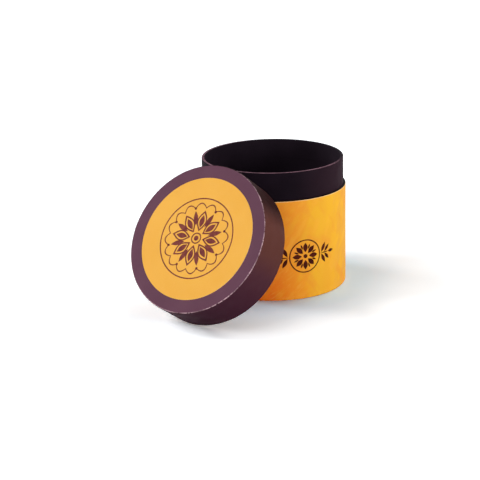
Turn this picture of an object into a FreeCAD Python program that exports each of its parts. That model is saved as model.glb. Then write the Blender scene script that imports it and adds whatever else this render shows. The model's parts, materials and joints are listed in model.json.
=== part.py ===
import FreeCAD, Part
import math
import os

from FreeCAD import Placement, Rotation, Vector

# A cylindrical gift tube box of wound board covered in paper. Millimetres, with +Z up.
# The origin is the centre of the foot, on the floor, and the front is -Y.
# The lid is off: it stands on its open rim in front of the tube and leans on the neck.

# Board and paper stock
TUBE_BOARD = 1.25       # wound board of the outer tube
NECK_BOARD = 1.2        # wound board of the inner tube, whose free top is the neck
LID_RING_BOARD = 0.7    # wound board of the lid's side
FLOOR_BOARD = 2.0       # flat board that closes the tube's foot
CROWN_BOARD = 1.5       # flat board that closes the lid
WRAP_PAPER = 0.15       # printed paper round the outer tube
FACING_PAPER = 0.15     # dark paper over the neck
LID_WRAP_PAPER = 0.15   # coloured paper round the lid
LINING_PAPER = 0.10     # dark paper inside the tube and the lid
FOOT_SHEET = 0.20       # paper disc under the foot
CROWN_SHEET = 0.20      # coloured paper disc on the lid
LABEL_PAPER = 0.10      # round printed label on that disc
GLUE = 0.05             # glue line between two curved layers

# Tube and neck
BORE_RADIUS = 41.95     # inside of the lined tube
SHOULDER_HEIGHT = 62.2  # top of the outer tube, where the closed lid sits down
RIM_HEIGHT = 79.2       # top of the neck
WRAP_TURN_UNDER = 8.0   # width of the wrap that is turned under the foot
FACING_TURN_IN = 12.0   # depth of the facing that is turned over the rim into the bore
WRAP_LAP = 8.0          # width of the wrap's glued overlap
FACING_LAP = 6.0        # width of the facing's glued overlap
FOOT_MARGIN = 1.0       # the foot sheet stops this far short of the tube's outside

# Lid
LID_HEIGHT = 23.5       # open rim to coloured face
LID_FIT = 0.25          # radial clearance between the neck and the lid's mouth
LID_TURN_OVER = 7.0     # width of the lid's wrap that is turned over the crown
LID_TURN_IN = 10.0      # depth of the lid's wrap that is turned into the open rim
LID_LAP = 6.0           # width of the lid wrap's glued overlap
CROWN_MARGIN = 0.4      # the coloured disc stops this far short of the lid's outside
LABEL_BORDER = 8.0      # width of the coloured border that shows round the label

# The lid's lean on the neck
LEAN_ELEVATION = 34.5   # degrees that the lid's face looks upwards
LEAN_OFFSET = 8.0       # the lid stands this far to the right of the tube's axis
LEAN_GAP = 0.30         # clearance between the leaning rim and the tube
LEAN_STEPS = 3600       # points round the rim at which that clearance is kept

# Directions of the glued overlaps, in degrees from +X about each piece's own axis
WRAP_LAP_FACING = 90
FACING_LAP_FACING = 70
LID_LAP_FACING = 180

# Radii of the tube, layer by layer from the bore outwards
NECK_INNER = BORE_RADIUS + LINING_PAPER + GLUE
NECK_OUTER = NECK_INNER + NECK_BOARD
NECK_RADIUS = NECK_OUTER + GLUE + FACING_PAPER
TUBE_INNER = NECK_RADIUS + GLUE
TUBE_OUTER = TUBE_INNER + TUBE_BOARD
TUBE_RADIUS = TUBE_OUTER + GLUE + WRAP_PAPER

# Heights of the tube's closed end, from the floor upwards
TUBE_BASE = FOOT_SHEET + WRAP_PAPER
FLOOR_TOP = TUBE_BASE + FLOOR_BOARD

# Radii of the lid, from its mouth outwards, flush with the tube at these sizes
LID_MOUTH = NECK_RADIUS + LID_FIT
LID_LINED = LID_MOUTH + LID_WRAP_PAPER + GLUE
RING_INNER = LID_LINED + LINING_PAPER + GLUE
RING_OUTER = RING_INNER + LID_RING_BOARD
LID_RADIUS = RING_OUTER + GLUE + LID_WRAP_PAPER

# Heights of the lid's closed end, from its coloured face to its open rim
RING_BASE = CROWN_SHEET + LID_WRAP_PAPER
CROWN_INSIDE = RING_BASE + CROWN_BOARD


def turned(outline):
    """Solid of revolution about Z of a closed outline given as (radius, height)."""
    corners = [Vector(radius, 0, height) for radius, height in outline]
    face = Part.Face(Part.makePolygon(corners + corners[:1]))
    return face.revolve(Vector(0, 0, 0), Vector(0, 0, 1), 360)


def ring(inner, outer, bottom, top):
    return turned([(inner, bottom), (outer, bottom), (outer, top), (inner, top)])


def disc(radius, bottom, thickness):
    return Part.makeCylinder(radius, thickness, Vector(0, 0, bottom))


def lapped(paper_round, radius, paper, bottom, top, width, facing):
    """Paper round a tube, with the second layer where its end overlaps its start."""
    sweep = math.degrees(width / radius)
    height = top - bottom
    foot = Vector(0, 0, bottom)
    up = Vector(0, 0, 1)
    overlap = Part.makeCylinder(radius + paper, height, foot, up, sweep)
    overlap = overlap.cut(Part.makeCylinder(radius, height, foot, up, sweep))
    overlap.rotate(Vector(0, 0, 0), up, facing - sweep / 2)
    return paper_round.fuse(overlap).removeSplitter()


def outer_tube():
    return ring(TUBE_INNER, TUBE_OUTER, TUBE_BASE, SHOULDER_HEIGHT - WRAP_PAPER)


def tube_wrap():
    """Printed paper, turned under the foot and over the shoulder as far as the neck."""
    wrap = turned([
        (TUBE_RADIUS - WRAP_TURN_UNDER, FOOT_SHEET),
        (TUBE_RADIUS, FOOT_SHEET),
        (TUBE_RADIUS, SHOULDER_HEIGHT),
        (TUBE_INNER, SHOULDER_HEIGHT),
        (TUBE_INNER, SHOULDER_HEIGHT - WRAP_PAPER),
        (TUBE_RADIUS - WRAP_PAPER, SHOULDER_HEIGHT - WRAP_PAPER),
        (TUBE_RADIUS - WRAP_PAPER, TUBE_BASE),
        (TUBE_RADIUS - WRAP_TURN_UNDER, TUBE_BASE),
    ])
    return lapped(wrap, TUBE_RADIUS, WRAP_PAPER, FOOT_SHEET, SHOULDER_HEIGHT,
                  WRAP_LAP, WRAP_LAP_FACING)


def neck_tube():
    return ring(NECK_INNER, NECK_OUTER, FLOOR_TOP, RIM_HEIGHT - FACING_PAPER)


def neck_facing():
    """Dark paper up the outside of the inner tube, over the rim and down over the lining."""
    mouth = BORE_RADIUS - GLUE
    facing = turned([
        (NECK_RADIUS, FLOOR_TOP),
        (NECK_RADIUS, RIM_HEIGHT),
        (mouth - FACING_PAPER, RIM_HEIGHT),
        (mouth - FACING_PAPER, RIM_HEIGHT - FACING_TURN_IN),
        (mouth, RIM_HEIGHT - FACING_TURN_IN),
        (mouth, RIM_HEIGHT - FACING_PAPER),
        (NECK_RADIUS - FACING_PAPER, RIM_HEIGHT - FACING_PAPER),
        (NECK_RADIUS - FACING_PAPER, FLOOR_TOP),
    ])
    return lapped(facing, NECK_RADIUS, FACING_PAPER, SHOULDER_HEIGHT, RIM_HEIGHT,
                  FACING_LAP, FACING_LAP_FACING)


def inner_lining():
    return ring(BORE_RADIUS, BORE_RADIUS + LINING_PAPER,
                FLOOR_TOP + LINING_PAPER, RIM_HEIGHT - FACING_PAPER)


def floor_board():
    return disc(TUBE_INNER - GLUE, TUBE_BASE, FLOOR_BOARD)


def floor_lining():
    return disc(NECK_INNER - GLUE, FLOOR_TOP, LINING_PAPER)


def foot_sheet():
    return disc(TUBE_RADIUS - FOOT_MARGIN, 0, FOOT_SHEET)


# The lid is made as a shallow cup, with its coloured face down at zero height and its rim up

def lid_ring():
    return ring(RING_INNER, RING_OUTER, RING_BASE, LID_HEIGHT - LID_WRAP_PAPER)


def lid_wrap():
    """Coloured paper, turned over the crown and over the open rim onto the lining."""
    wrap = turned([
        (LID_RADIUS - LID_TURN_OVER, CROWN_SHEET),
        (LID_RADIUS, CROWN_SHEET),
        (LID_RADIUS, LID_HEIGHT),
        (LID_MOUTH, LID_HEIGHT),
        (LID_MOUTH, LID_HEIGHT - LID_TURN_IN),
        (LID_MOUTH + LID_WRAP_PAPER, LID_HEIGHT - LID_TURN_IN),
        (LID_MOUTH + LID_WRAP_PAPER, LID_HEIGHT - LID_WRAP_PAPER),
        (LID_RADIUS - LID_WRAP_PAPER, LID_HEIGHT - LID_WRAP_PAPER),
        (LID_RADIUS - LID_WRAP_PAPER, RING_BASE),
        (LID_RADIUS - LID_TURN_OVER, RING_BASE),
    ])
    return lapped(wrap, LID_RADIUS, LID_WRAP_PAPER, CROWN_SHEET, LID_HEIGHT,
                  LID_LAP, LID_LAP_FACING)


def lid_board():
    return disc(RING_INNER - GLUE, RING_BASE, CROWN_BOARD)


def lid_top_sheet():
    return disc(LID_RADIUS - CROWN_MARGIN, 0, CROWN_SHEET)


def lid_label():
    return disc(LID_RADIUS - LABEL_BORDER, -LABEL_PAPER, LABEL_PAPER)


def lid_top_lining():
    return disc(RING_INNER - GLUE, CROWN_INSIDE, LINING_PAPER)


def lid_side_lining():
    return ring(LID_LINED, LID_LINED + LINING_PAPER,
                CROWN_INSIDE + LINING_PAPER, LID_HEIGHT - LID_WRAP_PAPER)


def wall_radius(height):
    """Outside of the tube at a height: the wrap below the shoulder, then the neck, then nothing."""
    if height > RIM_HEIGHT:
        return 0
    return NECK_RADIUS if height > SHOULDER_HEIGHT else TUBE_RADIUS


def rim_depth(rise):
    """Y of the leaning rim's centre, pushed up to the tube until a point of the rim is stopped."""
    stops = []
    for step in range(LEAN_STEPS):
        turn = math.radians(360 * step / LEAN_STEPS)
        side = LEAN_OFFSET + LID_RADIUS * math.sin(turn)
        ahead = LID_RADIUS * math.sin(rise) * math.cos(turn)
        height = LID_RADIUS * math.cos(rise) * (1 + math.cos(turn))
        reach = wall_radius(height) + LEAN_GAP
        if abs(side) < reach:
            stops.append(-math.sqrt(reach ** 2 - side ** 2) - ahead)
    return min(stops)


def lid_lean():
    """Place of the lid, with its rim on the floor and its face to the front."""
    rise = math.radians(LEAN_ELEVATION)
    rim = Vector(LEAN_OFFSET, rim_depth(rise), LID_RADIUS * math.cos(rise))
    outwards = Vector(0, -math.cos(rise), math.sin(rise))
    return Placement(rim + outwards * LID_HEIGHT, Rotation(Vector(1, 0, 0), -90 - LEAN_ELEVATION))


BASE = [outer_tube, tube_wrap, neck_tube, neck_facing, inner_lining,
        floor_board, floor_lining, foot_sheet]
LID = [lid_ring, lid_wrap, lid_board, lid_top_sheet, lid_label, lid_top_lining, lid_side_lining]

os.makedirs("parts", exist_ok=True)
for make in BASE:
    make().exportStep(f"parts/{make.__name__}.step")
lean = lid_lean()
for make in LID:
    shape = make()
    shape.Placement = lean
    shape.exportStep(f"parts/{make.__name__}.step")
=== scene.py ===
import json
import math
from collections import namedtuple

import bmesh
import bpy
from mathutils import Matrix, Vector

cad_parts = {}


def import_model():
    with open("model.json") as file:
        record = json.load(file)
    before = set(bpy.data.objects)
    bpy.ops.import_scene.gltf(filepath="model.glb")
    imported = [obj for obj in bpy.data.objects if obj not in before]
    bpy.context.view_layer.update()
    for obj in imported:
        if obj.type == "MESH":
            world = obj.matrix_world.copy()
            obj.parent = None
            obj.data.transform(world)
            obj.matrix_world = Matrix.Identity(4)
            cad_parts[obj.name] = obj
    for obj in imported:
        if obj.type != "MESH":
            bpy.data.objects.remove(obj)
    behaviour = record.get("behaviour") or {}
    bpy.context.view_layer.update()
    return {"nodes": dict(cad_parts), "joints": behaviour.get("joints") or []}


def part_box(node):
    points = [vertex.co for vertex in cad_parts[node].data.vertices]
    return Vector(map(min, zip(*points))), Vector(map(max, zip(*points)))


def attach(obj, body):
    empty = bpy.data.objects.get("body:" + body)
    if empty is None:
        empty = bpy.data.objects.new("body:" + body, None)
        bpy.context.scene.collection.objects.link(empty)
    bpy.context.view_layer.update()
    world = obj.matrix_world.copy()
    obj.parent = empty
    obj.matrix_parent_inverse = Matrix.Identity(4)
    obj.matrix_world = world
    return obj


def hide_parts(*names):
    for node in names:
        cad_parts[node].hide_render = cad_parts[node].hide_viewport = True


# The looks of a cylindrical gift tube box of wound board covered in paper, with its lid off.
# Lengths are millimetres unless a comment says metres. Angles are degrees, and a facing is an angle
# about a piece's own Z, from its own X.
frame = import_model()

MM = 0.001

Home = namedtuple("Home", "body place")                 # a body and the frame its pieces are made in
Reach = namedtuple("Reach", "inner outer low high")     # radii and heights about a frame's Z
Lap = namedtuple("Lap", "facing width radius")          # a glued overlap
Lamp = namedtuple("Lamp", "name azimuth elevation width height power")


def linear(red, green, blue):
    """A colour written as screen values from 0 to 255."""
    parts = [part / 255 for part in (red, green, blue)]
    return [part / 12.92 if part <= 0.04045 else ((part + 0.055) / 1.055) ** 2.4
            for part in parts] + [1.0]


# Camera, at the photograph's viewing angle
CAMERA_PLACE = (509.59, -728.53, 303.26)
CAMERA_AZIMUTH = 36.320
CAMERA_PITCH = 17.382
CAMERA_ROLL = -1.172
CAMERA_LENS = 111.70
SENSOR_WIDTH = 36.0
CLIP_NEAR, CLIP_FAR = 0.01, 100.0     # metres

# Paper and its folds
PAPER = 0.15              # thickness of the covering papers
GLUE = 0.05               # glue line between two curved layers
FOLD = 0.5                # outer radius of a folded edge
FOLD_STEPS = 6            # facets round a folded edge
FOLD_SUPPORT = 0.12       # a ring of points this far from a fold keeps the flat beside it flat
RING_PITCH = 5.0          # farthest distance between two rings of points on a flat stretch
COLUMNS = 288             # columns of points round a piece
CUT_WIDTH = 0.02          # width that a paper's cut edge takes up round the piece
LAP_SLOPE = 1.6           # width over which an overlap comes down to the board
LAP_SLOPE_STEPS = 4       # facets across that width
SHARP_ANGLE = 40          # faces that meet at more than this angle meet at a sharp edge

# Sizes of turned papers and overlaps that the CAD boxes don't give
NECK_TURN_IN = 12.0
LID_TURN_IN = 10.0
WRAP_LAP = 8.0
NECK_LAP = 6.0
LID_LAP = 6.0
WRAP_LAP_FACING = 90
NECK_LAP_FACING = 70
LID_LAP_FACING = 180

# Cut edges and wear
CORE_DEEP = linear(205, 180, 176)
CORE_PALE = linear(226, 205, 200)
EDGE_PLUM = linear(72, 46, 58)
RUBBED_PLUM = linear(222, 186, 194)
RUBBED_AND_LIT_RIM = linear(132, 98, 110)
RIM_WEAR_AND_HIGHLIGHT_FACING = -100        # side of the neck's rim that is rubbed and carries a painted highlight
CROWN_WEAR_FACING = -45       # side of the lid's edge that is rubbed most
RIM_WEAR = (0.2, 0.03)        # depths below the neck's rim between which its wear and painted highlight grow
CROWN_WEAR = (0.22, 0.06)     # depths below the lid's crown
MOUTH_WEAR = (0.25, 0.08)     # heights above the lid's open rim
MOUTH_WEAR_SHARE = 0.3        # wear there, beside that of the crown
FACE_WEAR = (0.2, 0.05)       # distances in from the edge of the lid's face

# The printed wash on the tube, with painted shade, bounce light, sheen and highlight laid into it
WASH_YELLOW = linear(242, 180, 46)
WASH_AMBER = linear(236, 161, 50)
# WASH_DEEP, WASH_LOW and WASH_RED lie on the side where the lid stands, most of all low down: part
# print, part painted shade and bounce light from the lid.
WASH_DEEP = linear(241, 138, 38)
WASH_LOW = linear(246, 124, 12)
WASH_RED = linear(244, 94, 20)
# A painted sheen, paler and duller, on one side of the tube.
WASH_SHEEN = linear(220, 146, 66)
WASH_FIBRE = linear(255, 214, 140)
BROAD_STROKE = linear(236, 146, 50)
DAB = linear(247, 182, 58)
FINE_STROKE = linear(252, 190, 84)
# The shoulder's pale fold: part wear, part painted highlight.
RUBBED_AND_LIT_FOLD = linear(255, 216, 158)
SHOULDER_INK = linear(6, 2, 2)
DEEP_AND_SHADED_FACING = -75             # side of the tube where the wash is deepest, with painted shade and bounce light from the lid
SHEEN_FACING = 30              # side with a painted sheen, where the wash turns paler and duller and the neck lighter
LOW_HEIGHTS = (2.0, 34.0)     # heights between which the low colour fades out
RED_HEIGHTS = (4.0, 30.0)     # the same for the red
FINE_HEIGHTS = (30.0, 6.0)    # heights between which the fine strokes grow
FOLD_DEPTHS = (0.9, 0.15)     # depths below the shoulder between which its fold turns pale, part wear and part painted highlight
INK_DEPTHS = (0.35, 0.2)      # depths below the shoulder between which its dark print starts
INK_INSETS = (0.06, 0.16)     # distances in from the tube's side for the same

# Near-black papers
LINING_DEEP = linear(27, 20, 27)
LINING_PALE = linear(32, 24, 32)
NECK_DEEP = linear(20, 13, 20)
NECK_PALE = linear(25, 17, 25)
# A painted sheen, lighter and plum, on the neck's side toward the light.
NECK_SHEEN = linear(42, 27, 35)
DARK_FIBRE = linear(48, 36, 42)
NECK_SKIN = (1.2, 0.6)        # distances in from the neck's outside between which its own tone starts

# Plum papers
FACE_DEEP = linear(97, 63, 79)
FACE_PALE = linear(102, 67, 83)
# The lid side's plum is a darker copy of the face's plum: painted shade.
SIDE_DEEP = linear(75, 41, 48)
SIDE_PALE = linear(81, 45, 52)
# Painted light on the lid's side: brown for orange light from the tube, near-black for shade above where
# it leans under the tube, dark plum for shade underneath.
SIDE_PAINTED_BOUNCE = linear(86, 48, 42)
SIDE_PAINTED_SHADE = linear(30, 5, 5)
SIDE_PAINTED_UNDERSHADE = linear(56, 25, 39)
FOOT_DEEP = linear(84, 54, 67)
FOOT_PALE = linear(92, 60, 74)
PLUM_FIBRE = linear(136, 100, 116)
BOUNCE_FACING = 18             # directions of the lid side's painted bounce light, painted shade above and painted shade underneath
SHADE_FACING = 90
UNDERSHADE_FACING = -80

# Label, inks and board
LABEL_DEEP = linear(236, 172, 66)
LABEL_PALE = linear(239, 177, 71)
LABEL_FIBRE = linear(255, 214, 150)
PLUM_INK_THIN = linear(130, 66, 56)
PLUM_INK_FULL = linear(106, 48, 50)
MAROON_INK_THIN = linear(80, 26, 12)
MAROON_INK_FULL = linear(56, 14, 7)
BOARD_DEEP = linear(140, 128, 116)
BOARD_PALE = linear(176, 164, 150)
BOARD_FLECK = linear(84, 76, 70)
BOARD_JOINT = linear(96, 86, 78)
WIND_PITCH = 60.0             # height of one turn of a board's winding
WIND_JOINT = 0.25             # half width of the joint between two turns

# Printed ornaments. A petal or leaf is given by its foot, tip or length, and half width.
INK = 0.03                    # thickness of a printed film
INK_SINK = 0.01               # depth to which its underside lies in the paper
LINE = 0.75                   # width of a drawn line
PETALS = 8
FIRST_PETAL = 90              # facing of the first petal
ROSETTE = 17.0                # radius of the label's rosette, of which the next five are shares
ROSETTE_EYE = 0.09
ROSETTE_RING = 0.2
ROSETTE_PETAL = (0.25, 1.0, 0.19)
ROSETTE_HEART = (0.38, 0.84, 0.095)
ROSETTE_BETWEEN = (0.46, 1.0, 0.085)
DOT, DOT_RADIUS = 0.8, 18.6   # size of the dots round it, and of the circle that they stand on
SCALLOP_RADIUS, SCALLOP_DEPTH = 19.0, 2.7
LABEL_RING = 24.6
SPRIG_FACING = -30            # direction of the tube's ornament
SPRIG_HEIGHT = 27.0           # height of its middle
SPRIG_EYE = 1.3
SPRIG_PETAL = (2.4, 8.4, 1.5)
SPRIG_BETWEEN = (4.6, 8.0, 0.55)
SPRIG_RING = 10.4
SPRIG_STEM = (10.6, 7.0, 0.35)
SPRIG_TIP = (17.0, 4.8, 1.0)
SPRIG_LEAVES = ((11.4, 62, 6.6, 1.15), (14.0, 48, 5.4, 1.0))   # foot, slant, length and half width
LEAF_OFFSET = 0.5             # distance of a leaf's foot from the middle of the stem

# The stage
FLOOR_HALF = 8.0                      # metres
FLOOR_DROP = 0.01                     # drop of the floor under the foot, so that their faces don't meet
FLOOR_WHITE = (0.78, 0.78, 0.78, 1)   # light that the floor gives back
FLOOR_LIFT = (0.58, 0.62, 0.65, 1)    # more of it for the rays that show the floor, which makes it white
FOOT_LIFT = (0.04, 0.28, 0.48, 1)     # the same beside the tube, whose orange light it evens out
FOOT_REACH = (95.0, 45.0)             # distances from the tube's axis between which the two meet
WHITE_REACH = (400.0, 800.0)          # distances between which it turns plain white
BLACK, WHITE = (0, 0, 0, 1), (1, 1, 1, 1)
AMBIENT = 0.03
LIGHT_TARGET = Vector((0.0, -0.03, 0.03))   # metres
LAMP_DISTANCE = 2.5                         # metres
LAMPS = (                                   # azimuths are from +X, widths and heights are metres
    Lamp("key", 213, 43.5, 0.53, 0.84, 17),
    Lamp("low_left", 188, 15, 0.79, 0.61, 31),
    Lamp("front", 249, 37, 1.43, 1.06, 28),
    Lamp("right", 353, 12, 1.25, 0.79, 41),
    Lamp("back", 76, 41, 1.8, 1.06, 30),
)


# Places of the two bodies

UP = Vector((0, 0, 1))
lid_axis = Vector(frame["joints"][0]["axis"]).normalized()
lid_across = UP.cross(lid_axis).normalized()
lid_upward = lid_axis.cross(lid_across)


def lid_place(origin):
    """Matrix of a frame at an origin, whose Z comes out of the lid's coloured face."""
    turn = Matrix((lid_across, lid_upward, lid_axis)).transposed()
    return Matrix.Translation(origin) @ turn.to_4x4()


def reach(node, place):
    """Smallest and largest radius and height of a CAD node about a frame's Z."""
    inverse = place.inverted()
    points = [inverse @ vertex.co / MM for vertex in frame["nodes"][node].data.vertices]
    radii = [math.hypot(point.x, point.y) for point in points]
    heights = [point.z for point in points]
    return Reach(min(radii), max(radii), min(heights), max(heights))


face_low, face_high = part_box("lid_top_sheet")
face_middle = (face_low + face_high) / 2
face_half = reach("lid_top_sheet", lid_place(face_middle)).high * MM
BASE = Home("base", Matrix.Identity(4))
LID = Home("lid", lid_place(face_middle + lid_axis * face_half))


# Outlines

def run(start, end):
    """Points from start up to but without end, no farther apart than the ring pitch."""
    steps = max(1, math.ceil(math.dist(start, end) / RING_PITCH))
    return [tuple(a + (b - a) * step / steps for a, b in zip(start, end)) for step in range(steps)]


def folded(corners):
    """A path of (radius, height) corners with its inner corners folded round, one square turn each."""
    path = []
    last = Vector(corners[0])
    for before, corner, after in zip(corners, corners[1:], corners[2:]):
        point = Vector(corner)
        back = (Vector(before) - point).normalized()
        ahead = (Vector(after) - point).normalized()
        middle = point + (back + ahead) * FOLD
        path += run(last, point + back * (FOLD + FOLD_SUPPORT))
        path.append(tuple(point + back * (FOLD + FOLD_SUPPORT)))
        for step in range(FOLD_STEPS + 1):
            turn = math.radians(90 * step / FOLD_STEPS)
            path.append(tuple(middle - ahead * FOLD * math.cos(turn) - back * FOLD * math.sin(turn)))
        last = point + ahead * (FOLD + FOLD_SUPPORT)
    return path + run(last, corners[-1]) + [tuple(corners[-1])]


def sheet(path, thickness):
    """Closed outline of a sheet whose shown side is on the right of the path."""
    inner = []
    for index, (radius, height) in enumerate(path):
        before = Vector(path[max(index - 1, 0)])
        after = Vector(path[min(index + 1, len(path) - 1)])
        along = (after - before).normalized()
        inner.append((radius - along.y * thickness, height + along.x * thickness))
    return path + inner[::-1]


def flat_disc(size):
    """Outline of a round sheet from the middle of its top, over its cut edge, to the middle below."""
    top = run((0, size.high), (size.outer, size.high)) + [(size.outer, size.high)]
    return top + [(radius, size.low) for radius, _ in reversed(top)]


# Meshes

def lap_columns(lap):
    """(angle, lift) round a piece, with a cut step up to an overlap and a slope down from it."""
    columns = [(2 * math.pi * column / COLUMNS, 0.0) for column in range(COLUMNS)]
    if lap is None:
        return columns
    start = math.radians(lap.facing) - lap.width / lap.radius / 2
    end = start + lap.width / lap.radius
    slope = LAP_SLOPE / lap.radius
    step = CUT_WIDTH / lap.radius

    def lift(angle):
        if not start < angle < end:
            return 0.0
        share = min(1.0, (end - angle) / slope)
        return PAPER * share * share * (3 - 2 * share)

    angles = [angle for angle, _ in columns if min(abs(angle - start), abs(angle - end)) > step]
    angles += [end - slope * share / LAP_SLOPE_STEPS for share in range(LAP_SLOPE_STEPS + 1)]
    columns = [(angle, lift(angle)) for angle in angles]
    columns += [(start, 0.0), (start + step, PAPER)]
    return sorted(columns)


def turned(name, outline, place, cuts=(), lap=None):
    """A mesh turned about a frame's Z from a closed outline. Cuts are the outline's stretches that show
    the paper's core, which is the second material."""
    columns = lap_columns(lap)
    count = len(columns)
    vertices, rings, shares, faces, core = [], [], [], [], []
    for radius, height in outline:
        share = 0.0 if lap is None else min(1.0, max(0.0, 1 + (radius - lap.radius) / FOLD))
        shares.append(share)
        if radius < CUT_WIDTH:
            rings.append([len(vertices)] * count)
            vertices.append((0, 0, height * MM))
            continue
        rings.append(range(len(vertices), len(vertices) + count))
        for angle, lift in columns:
            out = (radius + lift * share) * MM
            vertices.append((out * math.cos(angle), out * math.sin(angle), height * MM))
    for index, ring in enumerate(rings):
        after = rings[(index + 1) % len(rings)]
        if ring[0] == ring[-1] and after[0] == after[-1]:
            continue
        for column in range(count):
            beside = (column + 1) % count
            corners = (ring[column], ring[beside], after[beside], after[column])
            faces.append(tuple(dict.fromkeys(corners)))
            step = shares[index] * abs(columns[column][1] - columns[beside][1]) > PAPER / 2
            core.append(int(index in cuts or step))
    return solid(name, vertices, faces, place, core)


def solid(name, vertices, faces, place, core=None):
    """An object of these points and faces, in metres in a frame, smooth but for its sharp edges."""
    mesh = bpy.data.meshes.new(name)
    mesh.from_pydata(vertices, [], faces)
    if core:
        mesh.polygons.foreach_set("material_index", core)
    mesh.shade_smooth()
    mesh.set_sharp_from_angle(angle=math.radians(SHARP_ANGLE))
    piece = linked(name, mesh)
    piece.matrix_world = place
    outward(mesh)
    return piece


def linked(name, data):
    """A new object in the scene."""
    made = bpy.data.objects.new(name, data)
    bpy.context.scene.collection.objects.link(made)
    return made


def outward(mesh):
    """Turns every face of a closed mesh to the outside."""
    work = bmesh.new()
    work.from_mesh(mesh)
    bmesh.ops.recalc_face_normals(work, faces=work.faces)
    work.to_mesh(mesh)
    work.free()


def settle(piece, home, slot, materials, *nodes):
    """Gives a piece its materials and its body, and hides the CAD nodes that it stands for. The slot is
    not used.
    """
    for material in materials:
        piece.data.materials.append(material)
    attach(piece, home.body)
    if nodes:
        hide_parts(*nodes)


# Materials

MIX_FIRST, MIX_SECOND, MIX_RESULT = 6, 7, 2     # sockets of a Mix node that mixes colours
GLOSS_SPREAD = 0.06                             # how far a paper's roughness goes up and down


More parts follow.
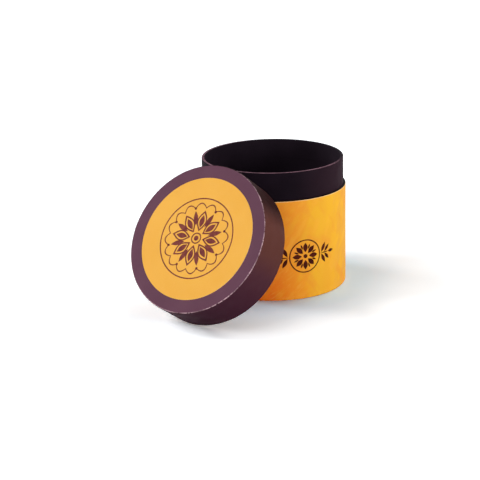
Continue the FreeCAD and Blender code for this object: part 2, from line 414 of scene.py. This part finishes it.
class Surface:
    """Short calls for one material's nodes. Positions are millimetres in the piece's own frame."""

    def __init__(self, name, roughness=0.6, specular=0.3):
        self.material = bpy.data.materials.new(name)
        self.material.use_nodes = True
        self.tree = self.material.node_tree
        self.shader = self.tree.nodes["Principled BSDF"]
        self.shader.inputs["Roughness"].default_value = roughness
        self.shader.inputs["Specular IOR Level"].default_value = specular
        scaled = self.add("ShaderNodeVectorMath", self.add("ShaderNodeTexCoord").outputs["Object"],
                          operation="SCALE")
        scaled.inputs["Scale"].default_value = 1 / MM
        self.place = scaled.outputs[0]
        self.x, self.y, self.z = self.add("ShaderNodeSeparateXYZ", self.place).outputs
        self.radius = self.math("SQRT", self.math("ADD", self.math("POWER", self.x, 2.0),
                                                  self.math("POWER", self.y, 2.0)))

    def add(self, kind, *values, **settings):
        """A new node with these settings, and these values or sockets on its first inputs."""
        node = self.tree.nodes.new(kind)
        for key, value in settings.items():
            setattr(node, key, value)
        for socket, value in zip(node.inputs, values):
            self.put(socket, value)
        return node

    def put(self, socket, value):
        if isinstance(value, bpy.types.NodeSocket):
            self.tree.links.new(value, socket)
        else:
            socket.default_value = value

    def math(self, operation, *values):
        return self.add("ShaderNodeMath", *values, operation=operation).outputs[0]

    def times(self, first, *others):
        """The product of two or more values."""
        for other in others:
            first = self.math("MULTIPLY", first, other)
        return first

    def noise(self, size, detail=2.0, distortion=0.0, stretch=(1, 1, 1)):
        """Noise from 0 to 1 with marks of about a size, drawn out along the axes by the stretch."""
        node = self.add("ShaderNodeTexNoise")
        spread = self.add("ShaderNodeVectorMath", self.place, operation="MULTIPLY")
        spread.inputs[1].default_value = [1 / part for part in stretch]
        self.put(node.inputs["Vector"], spread.outputs[0])
        self.put(node.inputs["Scale"], 1 / size)
        self.put(node.inputs["Detail"], detail)
        self.put(node.inputs["Distortion"], distortion)
        return node.outputs["Fac"]

    def between(self, value, low, high, to_low=0.0, to_high=1.0):
        """Value eased from to_low at low to to_high at high."""
        node = self.add("ShaderNodeMapRange", interpolation_type="SMOOTHSTEP")
        for name, part in (("Value", value), ("From Min", low), ("From Max", high),
                           ("To Min", to_low), ("To Max", to_high)):
            self.put(node.inputs[name], part)
        return node.outputs["Result"]

    def below(self, top, depths):
        """0 at the first depth below a height, and 1 at the second."""
        return self.between(self.z, top - depths[0], top - depths[1])

    def inside(self, edge, insets):
        """0 at the first distance in from a radius, and 1 at the second."""
        return self.between(self.radius, edge - insets[0], edge - insets[1])

    def cloud(self, size, detail, distortion=0.0):
        """Soft clouds from 0 to 1."""
        return self.between(self.noise(size, detail, distortion), 0.3, 0.7)

    def mix(self, share, first, second):
        node = self.add("ShaderNodeMix", data_type="RGBA")
        self.put(node.inputs["Factor"], share)
        self.put(node.inputs[MIX_FIRST], first)
        self.put(node.inputs[MIX_SECOND], second)
        return node.outputs[MIX_RESULT]

    def layers(self, tone, *layers):
        """A tone with layers over it in turn, each a share and a colour."""
        for share, colour in layers:
            tone = self.mix(share, tone, colour)
        return tone

    def painted(self, tone, *layers):
        """The finished material, in the colours of these layers."""
        self.put(self.shader.inputs["Base Color"], self.layers(tone, *layers))
        return self.material

    def fibres(self, depth=0.012, size=0.35):
        """The fine tooth of paper, as bump and as a change of gloss."""
        grain = self.noise(size, detail=4.0)
        bump = self.add("ShaderNodeBump")
        self.put(bump.inputs["Height"], grain)
        bump.inputs["Distance"].default_value = depth * MM
        self.put(self.shader.inputs["Normal"], bump.outputs["Normal"])
        rough = self.shader.inputs["Roughness"]
        middle = rough.default_value
        patches = self.noise(6.0, detail=3.0)
        self.put(rough, self.between(patches, 0.3, 0.7, middle - GLOSS_SPREAD, middle + GLOSS_SPREAD))
        return grain

    def along(self, degrees):
        """Distance from the piece's axis in a direction about its Z."""
        turn = math.radians(degrees)
        return self.math("ADD", self.times(self.x, math.cos(turn)), self.times(self.y, math.sin(turn)))

    def facing(self, degrees, off=-0.6, full=-0.1, ragged=0.0):
        """1 on the side of the piece that faces a direction about its Z, and 0 on the other side.
        Off and full are cosines of the angle to that direction."""
        share = self.math("DIVIDE", self.along(degrees), self.radius)
        return self.between(self.math("ADD", share, ragged), off, full)

    def strokes(self, length, width, slant, seam, detail=2.0):
        """Noise in brush strokes at a slant on the unrolled paper, whose seam faces a direction."""
        angle = self.math("ARCTAN2", self.along(seam - 90), self.along(seam + 180))
        around = self.times(angle, self.radius)
        turn = math.radians(slant)
        places = []
        for size, share, rise in ((length, math.cos(turn), math.sin(turn)),
                                  (width, -math.sin(turn), math.cos(turn))):
            sideways, upwards = self.times(around, share / size), self.times(self.z, rise / size)
            places.append(self.math("ADD", sideways, upwards))
        node = self.add("ShaderNodeTexNoise", noise_dimensions="2D")
        self.put(node.inputs["Vector"], self.add("ShaderNodeCombineXYZ", *places).outputs[0])
        self.put(node.inputs["Scale"], 1.0)
        self.put(node.inputs["Detail"], detail)
        return node.outputs["Fac"]


def broken_line(surface, inside):
    """A worn line where inside is near 1, broken up along its length."""
    coarse = surface.between(surface.noise(9.0, detail=2.0), 0.35, 0.6, 0.3, 1.0)
    fine = surface.between(surface.noise(1.2, detail=3.0), 0.3, 0.55)
    return surface.times(inside, coarse, fine)


def crown_side(surface):
    """1 on the side of the lid whose edge is rubbed most, fading out round the other."""
    return surface.facing(CROWN_WEAR_FACING, off=-0.8, full=0.4)


def paper_core():
    """The pale inside of a paper, where it is cut."""
    surface = Surface("paper_core", roughness=0.8, specular=0.2)
    return surface.painted(CORE_DEEP, (surface.fibres(), CORE_PALE))


def worn_edge():
    """Cut edge of plum paper, rubbed pale on one side."""
    surface = Surface("plum_edge", roughness=0.7, specular=0.1)
    surface.fibres()
    return surface.painted(EDGE_PLUM, (broken_line(surface, crown_side(surface)), RUBBED_PLUM))


def orange_paper(size):
    """Printed wash from deep orange to yellow, with painted shade and bounce light on the side where the
    lid stands, a painted sheen on one side, a pale fold that is part wear and part painted highlight,
    and a dark shoulder.
    """
    surface = Surface("orange_print", roughness=0.6, specular=0.04)
    between, times, height = surface.between, surface.times, surface.z
    grain = surface.fibres()
    side = size.outer - PAPER
    seam = WRAP_LAP_FACING - math.degrees(WRAP_LAP / 2 / side)
    cloud = surface.noise(34.0, detail=2.0, distortion=1.2, stretch=(1, 1, 1.5))
    dabs = surface.strokes(length=15.0, width=6.0, slant=62, seam=seam, detail=3.0)
    broad = surface.strokes(length=26.0, width=9.0, slant=-48, seam=seam)
    fine = surface.strokes(length=6.5, width=1.2, slant=38, seam=seam)
    ragged = between(dabs, 0.25, 0.75, -0.07, 0.07)
    # Painted shade and bounce light from the lid, over a deeper printed wash, on the side where the lid
    # stands.
    deep = surface.facing(DEEP_AND_SHADED_FACING, 0.5, 1.0, ragged)
    deepest = surface.facing(DEEP_AND_SHADED_FACING, 0.85, 1.0, ragged)
    # Painted sheen on this side.
    palest = surface.facing(SHEEN_FACING, 0.85, 1.0, ragged)
    brushed = times(between(fine, 0.54, 0.72), between(height, *FINE_HEIGHTS, 0.06, 0.26), deep)
    rubbed = between(surface.noise(3.0, detail=3.0), 0.25, 0.6, 0.35, 0.8)
    return surface.painted(
        WASH_YELLOW,
        (between(cloud, 0.42, 0.7, 0.0, 0.5), WASH_AMBER),
        (deep, WASH_DEEP),
        (times(between(height, *LOW_HEIGHTS, 0.5, 0.0), deep), WASH_LOW),
        (times(deepest, between(height, *RED_HEIGHTS, 0.55, 0.0)), WASH_RED),
        (times(palest, 0.5), WASH_SHEEN),
        (between(broad, 0.5, 0.68, 0.0, 0.4), BROAD_STROKE),
        (between(dabs, 0.52, 0.72, 0.0, 0.4), DAB),
        (brushed, FINE_STROKE),
        (between(grain, 0.35, 0.75, 0.0, 0.05), WASH_FIBRE),
        # The shoulder's fold: part wear, part painted highlight.
        (times(surface.below(size.high, FOLD_DEPTHS), rubbed), RUBBED_AND_LIT_FOLD),
        (times(surface.inside(side, INK_INSETS), surface.below(size.high, INK_DEPTHS)), SHOULDER_INK))


def dark_surface(name):
    """Near-black paper, with its clouds and the share of its fibres."""
    surface = Surface(name, roughness=0.7, specular=0.02)
    fibres = surface.between(surface.fibres(), 0.45, 0.8, 0.0, 0.12)
    return surface, surface.cloud(18.0, detail=3.0), fibres


def lining_paper():
    surface, cloud, fibres = dark_surface("lining_print")
    return surface.painted(LINING_DEEP, (cloud, LINING_PALE), (fibres, DARK_FIBRE))


def neck_print(size):
    """The neck's paper, with a painted sheen in plum on one side of its outside, and rubbed pale over
    the rim, with a painted highlight on the rim's side toward the light.
    """
    surface, cloud, fibres = dark_surface("neck_print")
    # Painted sheen: the neck's side toward the light is lighter and plum.
    plum = surface.facing(SHEEN_FACING, 0.3, 1.0)
    outside = surface.layers(NECK_DEEP, (cloud, NECK_PALE), (plum, NECK_SHEEN))
    broken = surface.between(surface.noise(4.0, detail=4.0), 0.3, 0.65, 0.4, 0.9)
    # Wear on the rim, with a painted highlight on its side toward the light.
    worn_and_highlit = surface.times(surface.below(size.high, RIM_WEAR), broken, surface.facing(RIM_WEAR_AND_HIGHLIGHT_FACING))
    return surface.painted(LINING_DEEP, (cloud, LINING_PALE),
                           (surface.inside(size.outer, NECK_SKIN), outside),
                           (fibres, DARK_FIBRE), (worn_and_highlit, RUBBED_AND_LIT_RIM))


def plum_paper(name, deep, pale, marks=None):
    """Plum paper, clouded a little between two tones, with the layers that marks gives over them."""
    surface = Surface(name, roughness=0.6, specular=0.03)
    fibres = surface.between(surface.fibres(), 0.45, 0.8, 0.0, 0.1)
    cloud = surface.cloud(20.0, detail=4.0, distortion=0.4)
    over = marks(surface) if marks else ()
    return surface.painted(deep, (cloud, pale), (fibres, PLUM_FIBRE), *over)


def lid_side_shades_and_wear(surface):
    """Painted light and shade: browner on the right of the lid for orange light from the tube, darker
    above where it leans under the tube, and darker underneath; rubbed along both edges.
    """
    crown = surface.times(surface.below(lid_wrap.high, CROWN_WEAR), crown_side(surface))
    off, full = (lid_wrap.low + height for height in MOUTH_WEAR)
    mouth = surface.between(surface.z, off, full, 0.0, MOUTH_WEAR_SHARE)
    return ((surface.facing(BOUNCE_FACING, 0.8, 1.0), SIDE_PAINTED_BOUNCE),
            (surface.facing(SHADE_FACING, 0.36, 0.72), SIDE_PAINTED_SHADE),
            (surface.facing(UNDERSHADE_FACING, 0.1, 0.9), SIDE_PAINTED_UNDERSHADE),
            (broken_line(surface, surface.math("MAXIMUM", crown, mouth)), RUBBED_PLUM))


def lid_face_marks(surface):
    """Rubbed along the edge."""
    edge = surface.times(surface.inside(lid_face.outer, FACE_WEAR), crown_side(surface))
    return ((broken_line(surface, edge), RUBBED_PLUM),)


def label_paper():
    surface = Surface("label_print", roughness=0.6, specular=0.1)
    fibres = surface.between(surface.fibres(), 0.4, 0.8, 0.0, 0.08)
    cloud = surface.cloud(22.0, detail=3.0, distortion=0.5)
    return surface.painted(LABEL_DEEP, (cloud, LABEL_PALE), (fibres, LABEL_FIBRE))


def ink(name, thin, full):
    """Printed ink that lies a little unevenly."""
    surface = Surface(name, roughness=0.6, specular=0.05)
    fibres = surface.between(surface.fibres(depth=0.006), 0.5, 0.85, 0.0, 0.25)
    cloud = surface.between(surface.noise(3.0, detail=4.0), 0.35, 0.7)
    return surface.painted(thin, (cloud, full), (fibres, thin))


def greyboard():
    """Wound greyboard with flecks of waste paper, and the butted edges of its plies."""
    surface = Surface("greyboard", roughness=0.85, specular=0.15)
    grain = surface.fibres(depth=0.03, size=0.6)
    flecks = surface.between(surface.noise(1.4, detail=2.0, stretch=(1, 1, 0.4)), 0.66, 0.72, 0.0, 0.5)
    ply = surface.math("PINGPONG", surface.math("ADD", surface.z, surface.x), WIND_PITCH / 2)
    joint = surface.between(ply, 0.0, WIND_JOINT, 0.35, 0.0)
    return surface.painted(BOARD_DEEP, (grain, BOARD_PALE), (flecks, BOARD_FLECK), (joint, BOARD_JOINT))


# Papers, each in the place of a CAD node

def folded_paper(name, node, home, slot, materials, corners, lap):
    """A paper folded round its board, with its shown side on the right of the corners' path."""
    path = folded(corners)
    outline = sheet(path, PAPER)
    cuts = (len(path) - 1, len(outline) - 1)
    settle(turned(name, outline, home.place, cuts, lap), home, slot, materials, node)


def strip_paper(name, node, home, slot, materials):
    """A strip round a bore, with its shown side inside."""
    size = reach(node, home.place)
    path = run((size.inner, size.high), (size.inner, size.low)) + [(size.inner, size.low)]
    piece = turned(name, sheet(path, size.outer - size.inner), home.place)
    settle(piece, home, slot, materials, node)


def round_paper(name, node, home, slot, materials):
    """A round sheet with its cut edge showing."""
    outline = flat_disc(reach(node, home.place))
    edge = len(outline) // 2 - 1
    settle(turned(name, outline, home.place, (edge,)), home, slot, materials, node)


# Printed ornaments, drawn flat and then laid on their paper

class Print:
    """Thin films of ink. A surface turns a flat place and a lift into a point of the piece's frame."""

    def __init__(self, surface):
        self.surface = surface
        self.vertices = []
        self.faces = []

    def ring(self, loop, lift):
        first = len(self.vertices)
        self.vertices += [self.surface(across, upward, lift) for across, upward in loop]
        return list(range(first, first + len(loop)))

    def strip(self, first, second):
        count = len(first)
        for index in range(count):
            beside = (index + 1) % count
            self.faces.append((first[index], first[beside], second[beside], second[index]))

    def band(self, outer, inner):
        """A closed line between two loops with as many points."""
        rings = [self.ring(loop, lift) for loop, lift in
                 ((outer, -INK_SINK), (outer, INK), (inner, INK), (inner, -INK_SINK))]
        for index, ring in enumerate(rings):
            self.strip(ring, rings[(index + 1) % len(rings)])

    def patch(self, loop):
        """A filled shape, seen whole from its middle."""
        middle = [sum(part) / len(loop) for part in zip(*loop)]
        low = self.ring(loop, -INK_SINK)
        high = self.ring(loop, INK)
        self.strip(low, high)
        for ring, lift in ((low, -INK_SINK), (high, INK)):
            centre = self.ring([middle], lift)[0]
            for index, point in enumerate(ring):
                self.faces.append((point, ring[(index + 1) % len(ring)], centre))

    def piece(self, name, place):
        vertices = [[part * MM for part in point] for point in self.vertices]
        return solid(name, vertices, self.faces, place)


def circle(radius, points=144, across=0.0, upward=0.0):
    turns = [2 * math.pi * point / points for point in range(points)]
    return [(across + radius * math.cos(turn), upward + radius * math.sin(turn)) for turn in turns]


def scallops(radius, depth, count, points=288):
    """A ring of round bays whose cusps point inwards."""
    loop = []
    for point in range(points):
        turn = 2 * math.pi * point / points
        out = radius + depth * abs(math.sin(count * turn / 2))
        loop.append((out * math.cos(turn), out * math.sin(turn)))
    return loop


def leaf(across, upward, facing, length, half_width, points=24):
    """A pointed leaf from its foot."""
    turn = math.radians(facing)
    loop = []
    for side, shares in ((1, range(points)), (-1, range(points, 0, -1))):
        for share in shares:
            along = length * share / points
            off = side * half_width * math.sin(math.pi * share / points)
            loop.append((across + along * math.cos(turn) - off * math.sin(turn),
                         upward + along * math.sin(turn) + off * math.cos(turn)))
    return loop


def petal(facing, foot, tip, half_width):
    """A leaf along a ray from the middle."""
    turn = math.radians(facing)
    return leaf(foot * math.cos(turn), foot * math.sin(turn), facing, tip - foot, half_width)


def petal_facings():
    """Directions of the petals, each with the direction halfway to the next."""
    facings = [360 * index / PETALS + FIRST_PETAL for index in range(PETALS)]
    return [(facing, facing + 180 / PETALS) for facing in facings]


def of_rosette(shares):
    return [share * ROSETTE for share in shares]


def label_rosette():
    """Petals in a scalloped ring and a plain one, on the label."""
    top = reach("lid_label", LID.place).high
    drawing = Print(lambda across, upward, lift: (across, upward, top + lift))
    drawing.patch(circle(ROSETTE_EYE * ROSETTE, points=48))
    drawing.band(circle(ROSETTE_RING * ROSETTE), circle(ROSETTE_RING * ROSETTE - LINE))
    foot, tip, half_width = of_rosette(ROSETTE_PETAL)
    for facing, halfway in petal_facings():
        drawing.band(petal(facing, foot, tip, half_width),
                     petal(facing, foot + 2 * LINE, tip - 2 * LINE, half_width - LINE))
        drawing.patch(petal(facing, *of_rosette(ROSETTE_HEART)))
        drawing.patch(petal(halfway, *of_rosette(ROSETTE_BETWEEN)))
    for _, halfway in petal_facings():
        turn = math.radians(halfway)
        drawing.patch(circle(DOT, 24, DOT_RADIUS * math.cos(turn), DOT_RADIUS * math.sin(turn)))
    drawing.band(scallops(SCALLOP_RADIUS, SCALLOP_DEPTH, 2 * PETALS),
                 scallops(SCALLOP_RADIUS - LINE, SCALLOP_DEPTH, 2 * PETALS))
    drawing.band(circle(LABEL_RING), circle(LABEL_RING - LINE))
    settle(drawing.piece("label_rosette", LID.place), LID, "label_print",
           [ink("plum_ink", PLUM_INK_THIN, PLUM_INK_FULL)])


def wrap_sprig(radius):
    """A small flower in a ring, with a leafy sprig on either side, on the tube."""
    def on_tube(across, upward, lift):
        turn = math.radians(SPRIG_FACING) + across / radius
        out = radius + lift
        return out * math.cos(turn), out * math.sin(turn), SPRIG_HEIGHT + upward

    drawing = Print(on_tube)
    drawing.patch(circle(SPRIG_EYE, points=32))
    for facing, halfway in petal_facings():
        drawing.patch(petal(facing, *SPRIG_PETAL))
        drawing.patch(petal(halfway, *SPRIG_BETWEEN))
    drawing.band(circle(SPRIG_RING), circle(SPRIG_RING - LINE))
    for side, turn in ((1, 0), (-1, 180)):
        for foot, length, half_width in (SPRIG_STEM, SPRIG_TIP):
            drawing.patch(leaf(side * foot, 0.0, turn, length, half_width))
        for foot, slant, length, half_width in SPRIG_LEAVES:
            for upward in (1, -1):
                drawing.patch(leaf(side * foot, upward * LEAF_OFFSET, turn + side * upward * slant,
                                   length, half_width))
    settle(drawing.piece("wrap_sprig", BASE.place), BASE, "orange_print",
           [ink("maroon_ink", MAROON_INK_THIN, MAROON_INK_FULL)])


# The stage

def floor():
    """A plain floor, which reaches past the view on all sides."""
    level = -FLOOR_DROP * MM
    corners = [(x * FLOOR_HALF, y * FLOOR_HALF, level) for x, y in ((-1, -1), (1, -1), (1, 1), (-1, 1))]
    mesh = bpy.data.meshes.new("floor")
    mesh.from_pydata(corners, [], [(0, 1, 2, 3)])
    mesh.materials.append(floor_material())
    linked("floor", mesh)


def seen(tree):
    """1 for rays that show a background: from the camera, or by way of gloss or glass."""
    path = tree.nodes.new("ShaderNodeLightPath").outputs
    shown = path["Is Camera Ray"]
    for other in ("Is Glossy Ray", "Is Transmission Ray"):
        either = tree.nodes.new("ShaderNodeMath")
        either.operation = "MAXIMUM"
        tree.links.new(shown, either.inputs[0])
        tree.links.new(path[other], either.inputs[1])
        shown = either.outputs[0]
    return shown


def floor_material():
    surface = Surface("white_floor")
    tree = surface.tree
    shown = seen(tree)
    near = surface.between(surface.radius, *FOOT_REACH)
    lift = surface.mix(shown, BLACK, surface.mix(near, FLOOR_LIFT, FOOT_LIFT))
    white = surface.times(shown, surface.between(surface.radius, *WHITE_REACH))
    plain = surface.add("ShaderNodeBsdfDiffuse", FLOOR_WHITE)
    extra = surface.add("ShaderNodeBsdfDiffuse", lift)
    distant = surface.add("ShaderNodeEmission", WHITE, white)
    both = surface.add("ShaderNodeAddShader", plain.outputs[0], extra.outputs[0])
    every = surface.add("ShaderNodeAddShader", both.outputs[0], distant.outputs[0])
    tree.links.new(every.outputs[0], tree.nodes["Material Output"].inputs["Surface"])
    tree.nodes.remove(surface.shader)
    return surface.material


def world():
    """Faint light from all sides, and white for rays that show the background."""
    made = bpy.data.worlds.new("studio")
    bpy.context.scene.world = made
    made.use_nodes = True
    tree = made.node_tree
    background = tree.nodes["Background"]
    background.inputs["Color"].default_value = WHITE
    strength = tree.nodes.new("ShaderNodeMapRange")
    tree.links.new(seen(tree), strength.inputs["Value"])
    strength.inputs["To Min"].default_value = AMBIENT
    strength.inputs["To Max"].default_value = 1.0
    tree.links.new(strength.outputs[0], background.inputs["Strength"])


def soft_box(lamp):
    """A rectangular lamp that faces the object."""
    light = bpy.data.lights.new(lamp.name, "AREA")
    light.shape = "RECTANGLE"
    light.size = lamp.width
    light.size_y = lamp.height
    light.energy = lamp.power
    turn, rise = math.radians(lamp.azimuth), math.radians(lamp.elevation)
    towards = Vector((math.cos(turn) * math.cos(rise), math.sin(turn) * math.cos(rise), math.sin(rise)))
    holder = linked(lamp.name, light)
    holder.location = LIGHT_TARGET + towards * LAMP_DISTANCE
    holder.rotation_euler = (-towards).to_track_quat("-Z", "Y").to_euler()


def camera():
    data = bpy.data.cameras.new("camera")
    data.lens = CAMERA_LENS
    data.sensor_width = SENSOR_WIDTH
    data.clip_start = CLIP_NEAR
    data.clip_end = CLIP_FAR
    holder = linked("camera", data)
    turn = Matrix.Rotation(math.radians(CAMERA_AZIMUTH), 4, "Z")
    tilt = Matrix.Rotation(math.radians(90 - CAMERA_PITCH), 4, "X")
    roll = Matrix.Rotation(math.radians(CAMERA_ROLL), 4, "Z")
    holder.matrix_world = Matrix.Translation(Vector(CAMERA_PLACE) * MM) @ turn @ tilt @ roll
    bpy.context.scene.camera = holder


# The tube

cut_edge = paper_core()
lining = lining_paper()
tube_board = reach("outer_tube", BASE.place)
wrap = reach("tube_wrap", BASE.place)
neck = reach("neck_facing", BASE.place)
wrap_radius = wrap.outer - PAPER
neck_radius = neck.outer - PAPER

folded_paper("printed_wrap", "tube_wrap", BASE, "orange_print", [orange_paper(wrap), cut_edge],
             [(wrap.inner, wrap.low), (wrap_radius, wrap.low),
              (wrap_radius, wrap.high), (tube_board.inner, wrap.high)],
             Lap(WRAP_LAP_FACING, WRAP_LAP, wrap_radius))
folded_paper("neck_paper", "neck_facing", BASE, "dark_paper", [neck_print(neck), cut_edge],
             [(neck_radius, neck.low), (neck_radius, neck.high),
              (neck.inner, neck.high), (neck.inner, neck.high - NECK_TURN_IN)],
             Lap(NECK_LAP_FACING, NECK_LAP, neck_radius))
strip_paper("bore_paper", "inner_lining", BASE, "dark_paper", [lining, cut_edge])
round_paper("floor_paper", "floor_lining", BASE, "dark_paper", [lining, cut_edge])
round_paper("foot_paper", "foot_sheet", BASE, "plum_paper",
            [plum_paper("foot_plum", FOOT_DEEP, FOOT_PALE), cut_edge])
wrap_sprig(wrap_radius)

# The lid

lid_wrap = reach("lid_wrap", LID.place)
lid_face = reach("lid_top_sheet", LID.place)
lid_radius = lid_wrap.outer - PAPER
lid_mouth = reach("lid_side_lining", LID.place).inner - PAPER - GLUE

folded_paper("lid_side_paper", "lid_wrap", LID, "plum_paper",
             [plum_paper("lid_side_plum", SIDE_DEEP, SIDE_PALE, lid_side_shades_and_wear), cut_edge],
             [(lid_mouth, lid_wrap.low + LID_TURN_IN), (lid_mouth, lid_wrap.low),
              (lid_radius, lid_wrap.low), (lid_radius, lid_wrap.high), (lid_wrap.inner, lid_wrap.high)],
             Lap(LID_LAP_FACING, LID_LAP, lid_radius))
round_paper("lid_face_paper", "lid_top_sheet", LID, "plum_paper",
            [plum_paper("lid_face_plum", FACE_DEEP, FACE_PALE, lid_face_marks), worn_edge()])
round_paper("lid_label_paper", "lid_label", LID, "label_print", [label_paper(), cut_edge])
round_paper("lid_inner_paper", "lid_top_lining", LID, "dark_paper", [lining, cut_edge])
strip_paper("lid_lining_paper", "lid_side_lining", LID, "dark_paper", [lining, cut_edge])
label_rosette()

# The boards, which keep their CAD meshes

board = greyboard()
for node in ("outer_tube", "neck_tube", "floor_board", "lid_ring", "lid_board"):
    frame["nodes"][node].data.materials.clear()
    frame["nodes"][node].data.materials.append(board)

floor()
world()
for lamp in LAMPS:
    soft_box(lamp)
camera()
bpy.context.scene.view_settings.view_transform = "Standard"
